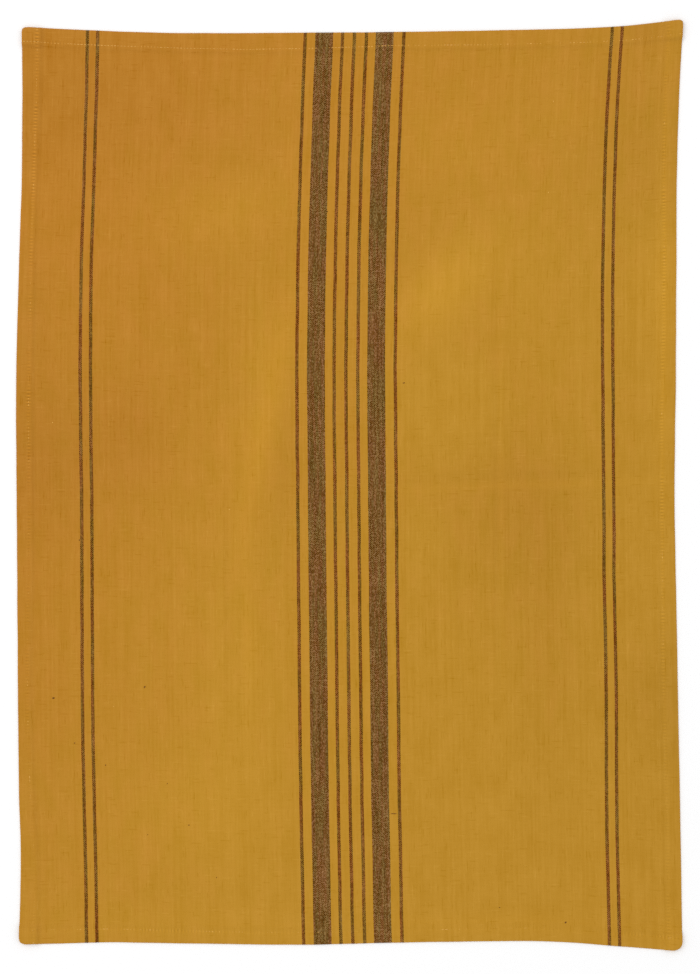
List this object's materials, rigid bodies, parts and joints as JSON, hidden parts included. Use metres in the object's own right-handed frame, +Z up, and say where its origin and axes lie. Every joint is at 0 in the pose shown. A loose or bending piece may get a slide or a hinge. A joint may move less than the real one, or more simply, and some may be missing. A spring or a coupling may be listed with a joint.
{
  "type": "tea towel",
  "caption": "Rectangular woven kitchen towel, hemmed on every side and spread out flat, in mustard with brown lengthwise stripes.",
  "frame": {"origin": "middle of the towel's outline, on its flat underside", "axes": "+X across the towel to its right, +Y along its length to its top end, +Z up out of its face"},
  "size_m": [0.5066, 0.707, 0.003],
  "materials": {
    "woven_cotton": "matt plain-woven cotton, mustard with brown yarn-dyed stripes"
  },
  "bodies": {
    "root": {"towel_cloth": "woven_cotton"}
  },
  "joints": []
}
